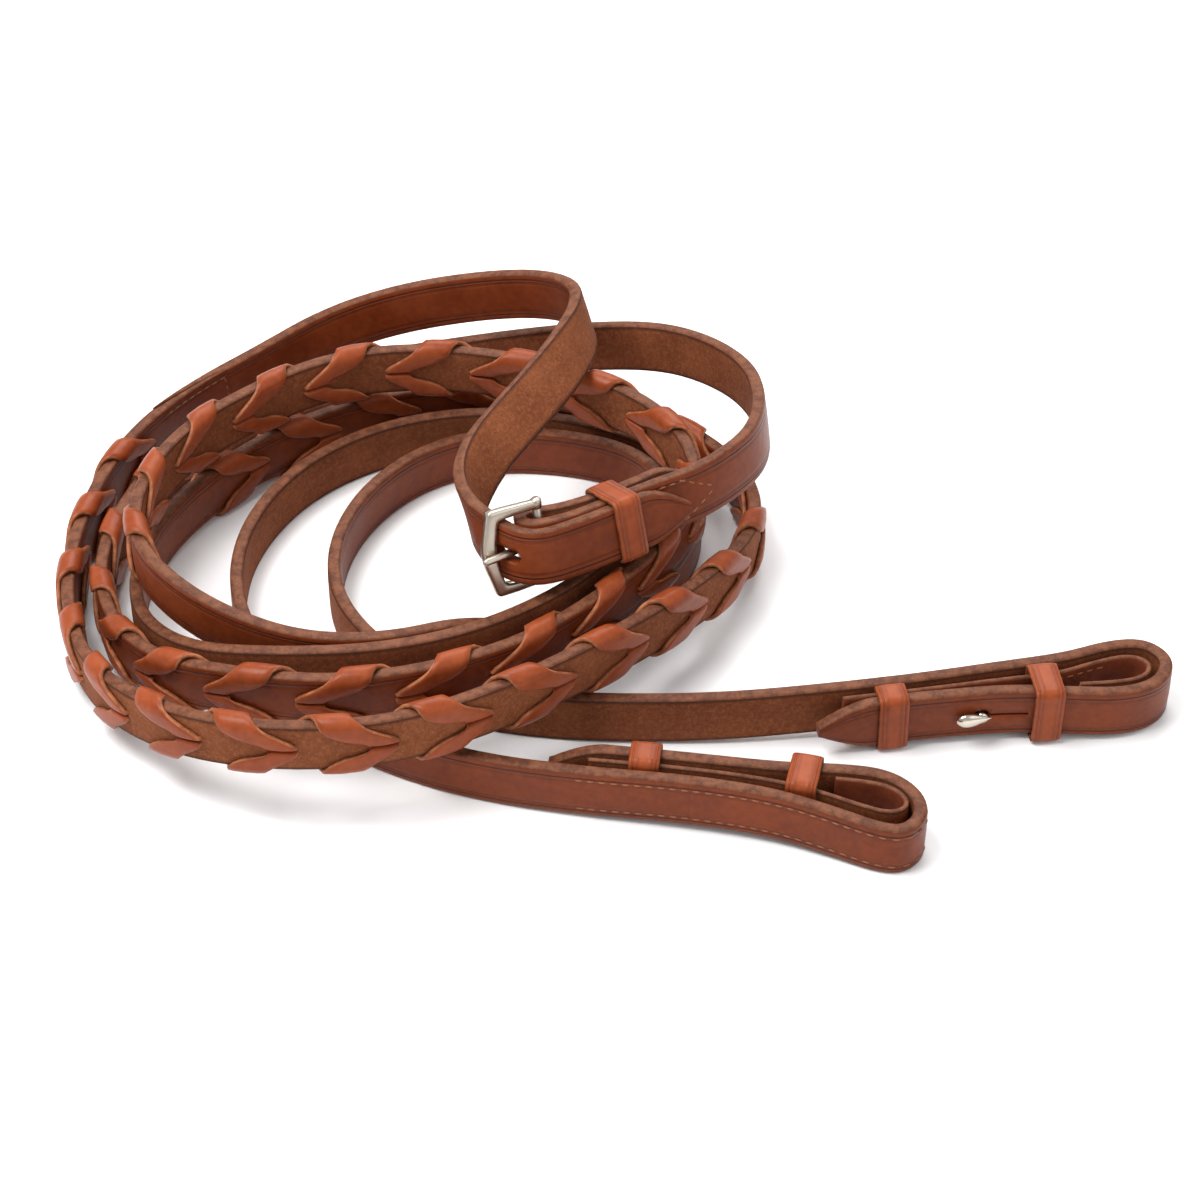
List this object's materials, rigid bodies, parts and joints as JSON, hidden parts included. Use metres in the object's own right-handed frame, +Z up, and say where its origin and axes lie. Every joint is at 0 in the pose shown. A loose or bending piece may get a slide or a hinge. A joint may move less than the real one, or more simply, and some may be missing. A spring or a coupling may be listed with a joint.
{
  "type": "laced leather reins",
  "caption": "Laced leather riding reins lying coiled: flat straps joined by a buckle, laced grips, and folded bit loops closed by hook studs.",
  "frame": {"origin": "middle of the coil's footprint on the floor", "axes": "+Z up, +X towards the side where the two bit ends lie, -Y towards the viewer"},
  "size_m": [0.3172, 0.2182, 0.0579],
  "materials": {
    "strap_leather": "semi-gloss",
    "lace_leather": "satin",
    "keeper_leather": "satin",
    "thread": "matt",
    "steel": "satin"
  },
  "bodies": {
    "reins": {"hand_strap_a": "strap_leather", "hand_strap_b": "strap_leather", "main_strap_a": "strap_leather", "main_strap_b": "strap_leather", "upper_lace_a": "lace_leather", "upper_lace_b": "lace_leather", "lower_lace_a": "lace_leather", "lower_lace_b": "lace_leather", "splice_stitches_a": "thread", "splice_stitches_b": "thread", "buckle_keeper": "keeper_leather", "buckle_stitches": "thread"},
    "buckle_frame": {"buckle_frame": "steel"},
    "buckle_tongue": {"buckle_tongue": "steel"},
    "bit_end_a": {"end_strap_a": "strap_leather", "end_liner_a": "lace_leather", "tip_keeper_a": "keeper_leather", "loop_keeper_a": "keeper_leather", "hook_stud_a": "steel", "hook_washer_a": "steel", "end_stitches_a": "thread"},
    "bit_end_b": {"end_strap_b": "strap_leather", "end_liner_b": "lace_leather", "tip_keeper_b": "keeper_leather", "loop_keeper_b": "keeper_leather", "hook_stud_b": "steel", "hook_washer_b": "steel", "end_stitches_b": "thread"}
  },
  "joints": [
    {"name": "buckle_frame_tilt", "type": "hinge", "parent": "reins", "child": "buckle_frame", "pos_m": [-0.01815, -0.02371, 0.0449], "axis": [-0.1111, 0.2871, 0.9514], "range_deg": [0, 6]},
    {"name": "buckle_tongue_lift", "type": "hinge", "parent": "buckle_frame", "child": "buckle_tongue", "pos_m": [-0.01815, -0.02371, 0.0449], "axis": [-0.1111, 0.2871, 0.9514], "range_deg": [0, 6]},
    {"name": "bit_end_a_swing", "type": "hinge", "parent": "reins", "child": "bit_end_a", "pos_m": [0.00685, -0.08781, 0.009], "axis": [0, 0, 1], "range_deg": [-25, 4]},
    {"name": "bit_end_b_swing", "type": "hinge", "parent": "reins", "child": "bit_end_b", "pos_m": [0.02085, -0.05731, 0.009], "axis": [0, 0, 1], "range_deg": [-6, 25]}
  ]
}
